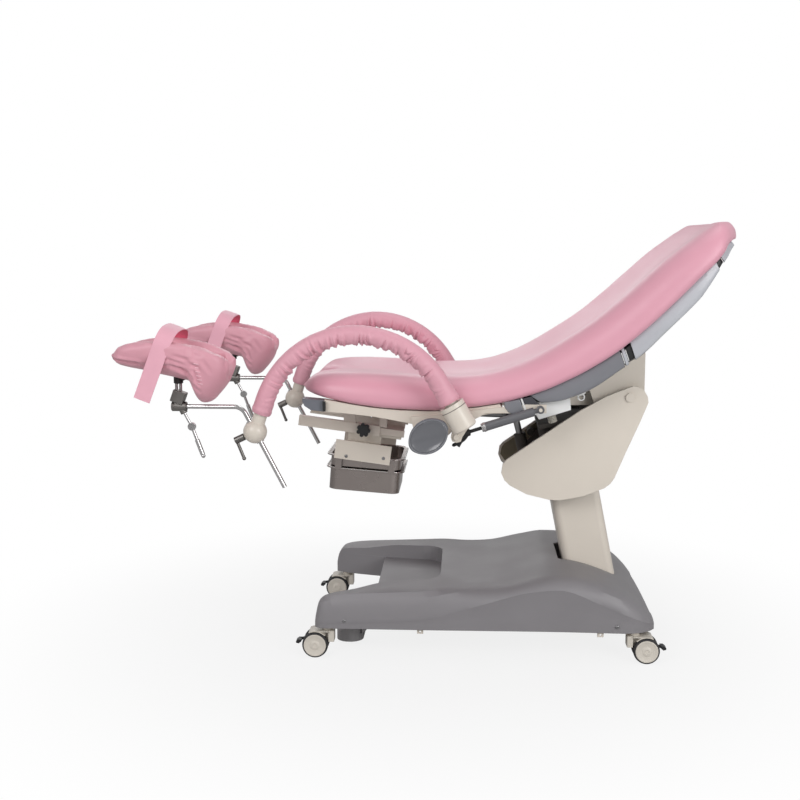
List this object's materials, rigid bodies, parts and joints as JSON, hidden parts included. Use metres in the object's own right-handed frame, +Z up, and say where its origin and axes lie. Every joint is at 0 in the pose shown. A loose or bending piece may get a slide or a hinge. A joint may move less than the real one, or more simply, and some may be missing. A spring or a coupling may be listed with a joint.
{
  "type": "electric obstetric table",
  "caption": "Delivery table with a reclining one-piece pad on a leaning lift column, arched leg arms with strapped gutter rests, sliding basins and a footwell base on casters.",
  "frame": {"origin": "on the floor, below the middle of the table's length and width", "axes": "+X towards the head end, +Y to the side away from the control box, +Z up"},
  "size_m": [1.752, 0.9176, 1.257],
  "materials": {
    "cream_paint": "cream powder coat, slightly glossy",
    "shell_grey": "warm grey moulded plastic",
    "screw_steel": "machined steel",
    "carriage_dark": "dark grey paint",
    "pad_vinyl": "matt pink vinyl, seamless",
    "rest_vinyl": "matt pink vinyl with soft creases",
    "sleeve_vinyl": "gathered pink sleeve",
    "strap_web": "light pink strap, darker on the inside",
    "cover_grey": "dark grey moulded plastic",
    "back_grey": "mid grey paint",
    "box_white": "white moulded plastic",
    "pan_steel": "stainless sheet, softly bright",
    "black_plastic": "black plastic",
    "caster_beige": "beige plastic",
    "wheel_black": "dark tyre",
    "chrome_trim": "bright chrome",
    "block_steel": "dull machined steel",
    "bracket_black": "black paint",
    "gas_grey": "grey paint"
  },
  "bodies": {
    "base": {"base_frame": "cream_paint", "base_cover": "shell_grey", "lower_housing": "shell_grey", "column_outer": "cream_paint", "lift_screw": "screw_steel"},
    "front_left_swivel": {"front_left_fork": "caster_beige"},
    "front_left_roller": {"front_left_wheel": "wheel_black"},
    "front_left_brake": {"front_left_pedal": "black_plastic"},
    "front_right_swivel": {"front_right_fork": "caster_beige"},
    "front_right_roller": {"front_right_wheel": "wheel_black"},
    "front_right_brake": {"front_right_pedal": "black_plastic"},
    "rear_left_swivel": {"rear_left_fork": "caster_beige"},
    "rear_left_roller": {"rear_left_wheel": "wheel_black"},
    "rear_left_brake": {"rear_left_pedal": "black_plastic"},
    "rear_right_swivel": {"rear_right_fork": "caster_beige"},
    "rear_right_roller": {"rear_right_wheel": "wheel_black"},
    "rear_right_brake": {"rear_right_pedal": "black_plastic"},
    "lift": {"lift_carriage": "carriage_dark", "side_plates": "cream_paint", "tilt_pin": "cream_paint"},
    "top": {"seat_frame": "cream_paint", "seat_pad": "pad_vinyl", "pad_bend": "pad_vinyl", "rear_shroud": "cream_paint", "side_covers": "cover_grey"},
    "back": {"back_frame": "back_grey", "back_pad": "pad_vinyl", "control_box": "box_white"},
    "tilt_motor": {"tilt_motor": "black_plastic"},
    "tilt_rod": {"tilt_rod": "screw_steel"},
    "back_motor": {"back_motor": "black_plastic"},
    "back_rod": {"back_rod": "screw_steel"},
    "left_leg": {"left_leg_arm": "cream_paint", "left_arm_sleeve": "sleeve_vinyl"},
    "left_gas_cylinder": {"left_gas_cylinder": "gas_grey"},
    "left_gas_rod": {"left_gas_rod": "black_plastic"},
    "left_bush": {"left_clamp_bush": "chrome_trim"},
    "left_lever": {"left_clamp_lever": "black_plastic"},
    "left_rod": {"left_leg_rod": "chrome_trim"},
    "left_block": {"left_clamp_block": "block_steel"},
    "left_handle": {"left_screw_handle": "chrome_trim"},
    "left_rest": {"left_rest_bracket": "bracket_black", "left_leg_pad": "rest_vinyl", "left_leg_strap": "strap_web"},
    "right_leg": {"right_leg_arm": "cream_paint", "right_arm_sleeve": "sleeve_vinyl"},
    "right_gas_cylinder": {"right_gas_cylinder": "gas_grey"},
    "right_gas_rod": {"right_gas_rod": "black_plastic"},
    "right_bush": {"right_clamp_bush": "chrome_trim"},
    "right_lever": {"right_clamp_lever": "black_plastic"},
    "right_rod": {"right_leg_rod": "chrome_trim"},
    "right_block": {"right_clamp_block": "block_steel"},
    "right_handle": {"right_screw_handle": "chrome_trim"},
    "right_rest": {"right_rest_bracket": "bracket_black", "right_leg_pad": "rest_vinyl", "right_leg_strap": "strap_web"},
    "basin_carrier": {"basin_slider": "cream_paint", "carrier_pan": "pan_steel"},
    "basin": {"basin": "pan_steel"},
    "star_knob": {"star_knob": "black_plastic"}
  },
  "joints": [
    {"name": "front_left_swivel_turn", "type": "hinge", "parent": "base", "child": "front_left_swivel", "pos_m": [-0.304, -0.286, 0.06], "axis": [0, 0, 1], "continuous": true},
    {"name": "front_left_wheel_roll", "type": "hinge", "parent": "front_left_swivel", "child": "front_left_roller", "pos_m": [-0.337, -0.286, 0.0375], "axis": [0, 1, 0], "continuous": true},
    {"name": "front_left_pedal_press", "type": "hinge", "parent": "front_left_swivel", "child": "front_left_brake", "pos_m": [-0.344, -0.286, 0.0535], "axis": [0, -1, 0], "range_deg": [0, 12]},
    {"name": "front_right_swivel_turn", "type": "hinge", "parent": "base", "child": "front_right_swivel", "pos_m": [-0.304, 0.286, 0.06], "axis": [0, 0, 1], "continuous": true},
    {"name": "front_right_wheel_roll", "type": "hinge", "parent": "front_right_swivel", "child": "front_right_roller", "pos_m": [-0.337, 0.286, 0.0375], "axis": [0, 1, 0], "continuous": true},
    {"name": "front_right_pedal_press", "type": "hinge", "parent": "front_right_swivel", "child": "front_right_brake", "pos_m": [-0.344, 0.286, 0.0535], "axis": [0, -1, 0], "range_deg": [0, 12]},
    {"name": "rear_left_swivel_turn", "type": "hinge", "parent": "base", "child": "rear_left_swivel", "pos_m": [0.579, -0.286, 0.06], "axis": [0, 0, 1], "continuous": true},
    {"name": "rear_left_wheel_roll", "type": "hinge", "parent": "rear_left_swivel", "child": "rear_left_roller", "pos_m": [0.612, -0.286, 0.0375], "axis": [0, 1, 0], "continuous": true},
    {"name": "rear_left_pedal_press", "type": "hinge", "parent": "rear_left_swivel", "child": "rear_left_brake", "pos_m": [0.619, -0.286, 0.0535], "axis": [0, 1, 0], "range_deg": [0, 12]},
    {"name": "rear_right_swivel_turn", "type": "hinge", "parent": "base", "child": "rear_right_swivel", "pos_m": [0.579, 0.286, 0.06], "axis": [0, 0, 1], "continuous": true},
    {"name": "rear_right_wheel_roll", "type": "hinge", "parent": "rear_right_swivel", "child": "rear_right_roller", "pos_m": [0.612, 0.286, 0.0375], "axis": [0, 1, 0], "continuous": true},
    {"name": "rear_right_pedal_press", "type": "hinge", "parent": "rear_right_swivel", "child": "rear_right_brake", "pos_m": [0.619, 0.286, 0.0535], "axis": [0, 1, 0], "range_deg": [0, 12]},
    {"name": "lift_raise", "type": "slide", "parent": "base", "child": "lift", "axis": [-0.1994, 0, 0.9799], "range_m": [-0.13, 0.15]},
    {"name": "top_tilt", "type": "hinge", "parent": "lift", "child": "top", "pos_m": [0.568, 0, 0.747], "axis": [0, 1, 0], "range_deg": [-4.5, 10]},
    {"name": "back_raise", "type": "hinge", "parent": "top", "child": "back", "pos_m": [0.212, 0, 0.735], "axis": [0, -1, 0], "range_deg": [0, 38], "deforming": ["pad_bend"]},
    {"name": "tilt_motor_swing", "type": "hinge", "parent": "lift", "child": "tilt_motor", "pos_m": [0.29, 0, 0.49], "axis": [0, 1, 0], "range_deg": [-1.5, 3]},
    {"name": "tilt_rod_push", "type": "slide", "parent": "tilt_motor", "child": "tilt_rod", "axis": [-0.2478, 0, 0.9688], "range_m": [-0.028, 0.06]},
    {"name": "back_motor_swing", "type": "hinge", "parent": "top", "child": "back_motor", "pos_m": [-0.03, 0.055, 0.672], "axis": [0, -1, 0], "range_deg": [-1, 5]},
    {"name": "back_rod_push", "type": "slide", "parent": "back_motor", "child": "back_rod", "axis": [0.9994, 0, -0.0357], "range_m": [0, 0.045]},
    {"name": "left_leg_raise", "type": "hinge", "parent": "top", "child": "left_leg", "pos_m": [0.088, -0.37, 0.705], "axis": [0, 1, 0], "range_deg": [0, 40]},
    {"name": "left_gas_swing", "type": "hinge", "parent": "top", "child": "left_gas_cylinder", "pos_m": [0.3, -0.318, 0.73], "axis": [0, 1, 0], "range_deg": [-1, 8]},
    {"name": "left_gas_push", "type": "slide", "parent": "left_gas_cylinder", "child": "left_gas_rod", "axis": [-0.9515, 0, -0.3076], "range_m": [-0.002, 0.023]},
    {"name": "left_bush_turn", "type": "hinge", "parent": "left_leg", "child": "left_bush", "pos_m": [-0.49, -0.37, 0.67], "axis": [-0.4602, 0, 0.8878], "range_deg": [-25, 25]},
    {"name": "left_lever_turn", "type": "hinge", "parent": "left_leg", "child": "left_lever", "pos_m": [-0.49, -0.37, 0.67], "axis": [-0.9033, 0, -0.4289], "range_deg": [-60, 60]},
    {"name": "left_rod_slide", "type": "slide", "parent": "left_bush", "child": "left_rod", "axis": [-0.4602, 0, 0.8878], "range_m": [-0.015, 0.09]},
    {"name": "left_block_roll", "type": "hinge", "parent": "left_rod", "child": "left_block", "pos_m": [-0.702, -0.37, 0.739], "axis": [1, 0, 0], "range_deg": [-20, 20]},
    {"name": "left_handle_turn", "type": "hinge", "parent": "left_block", "child": "left_handle", "pos_m": [-0.6954, -0.37, 0.7356], "axis": [0.4695, 0, -0.8829], "range_deg": [-90, 90]},
    {"name": "left_rest_turn", "type": "hinge", "parent": "left_block", "child": "left_rest", "pos_m": [-0.702, -0.37, 0.79], "axis": [0, 0, 1], "range_deg": [-20, 20]},
    {"name": "right_leg_raise", "type": "hinge", "parent": "top", "child": "right_leg", "pos_m": [0.088, 0.37, 0.705], "axis": [0, 1, 0], "range_deg": [0, 40]},
    {"name": "right_gas_swing", "type": "hinge", "parent": "top", "child": "right_gas_cylinder", "pos_m": [0.3, 0.318, 0.73], "axis": [0, 1, 0], "range_deg": [-1, 8]},
    {"name": "right_gas_push", "type": "slide", "parent": "right_gas_cylinder", "child": "right_gas_rod", "axis": [-0.9515, 0, -0.3076], "range_m": [-0.002, 0.023]},
    {"name": "right_bush_turn", "type": "hinge", "parent": "right_leg", "child": "right_bush", "pos_m": [-0.49, 0.37, 0.67], "axis": [-0.4602, 0, 0.8878], "range_deg": [-25, 25]},
    {"name": "right_lever_turn", "type": "hinge", "parent": "right_leg", "child": "right_lever", "pos_m": [-0.49, 0.37, 0.67], "axis": [-0.9033, 0, -0.4289], "range_deg": [-60, 60]},
    {"name": "right_rod_slide", "type": "slide", "parent": "right_bush", "child": "right_rod", "axis": [-0.4602, 0, 0.8878], "range_m": [-0.015, 0.09]},
    {"name": "right_block_roll", "type": "hinge", "parent": "right_rod", "child": "right_block", "pos_m": [-0.702, 0.37, 0.739], "axis": [1, 0, 0], "range_deg": [-20, 20]},
    {"name": "right_handle_turn", "type": "hinge", "parent": "right_block", "child": "right_handle", "pos_m": [-0.6954, 0.37, 0.7356], "axis": [0.4695, 0, -0.8829], "range_deg": [-90, 90]},
    {"name": "right_rest_turn", "type": "hinge", "parent": "right_block", "child": "right_rest", "pos_m": [-0.702, 0.37, 0.79], "axis": [0, 0, 1], "range_deg": [-20, 20]},
    {"name": "carrier_slide", "type": "slide", "parent": "top", "child": "basin_carrier", "axis": [-0.9914, 0, 0.1305], "range_m": [0, 0.12]},
    {"name": "basin_slide", "type": "slide", "parent": "basin_carrier", "child": "basin", "axis": [-0.9971, 0, 0.0767], "range_m": [0, 0.2]},
    {"name": "knob_turn", "type": "hinge", "parent": "top", "child": "star_knob", "pos_m": [-0.2077, -0.15, 0.6434], "axis": [0, 1, 0], "range_deg": [-90, 90]}
  ],
  "couplings": [
    {"joint": "tilt_motor_swing", "follows": "top_tilt", "ratio": 0.22},
    {"joint": "tilt_rod_push", "follows": "top_tilt", "m_per_rad": 0.331},
    {"joint": "back_motor_swing", "follows": "back_raise", "ratio": 0.108},
    {"joint": "back_rod_push", "follows": "back_raise", "m_per_rad": 0.0653},
    {"joint": "left_gas_swing", "follows": "left_leg_raise", "ratio": 0.1725},
    {"joint": "left_gas_push", "follows": "left_leg_raise", "m_per_rad": 0.0294},
    {"joint": "right_gas_swing", "follows": "right_leg_raise", "ratio": 0.1725},
    {"joint": "right_gas_push", "follows": "right_leg_raise", "m_per_rad": 0.0294}
  ]
}
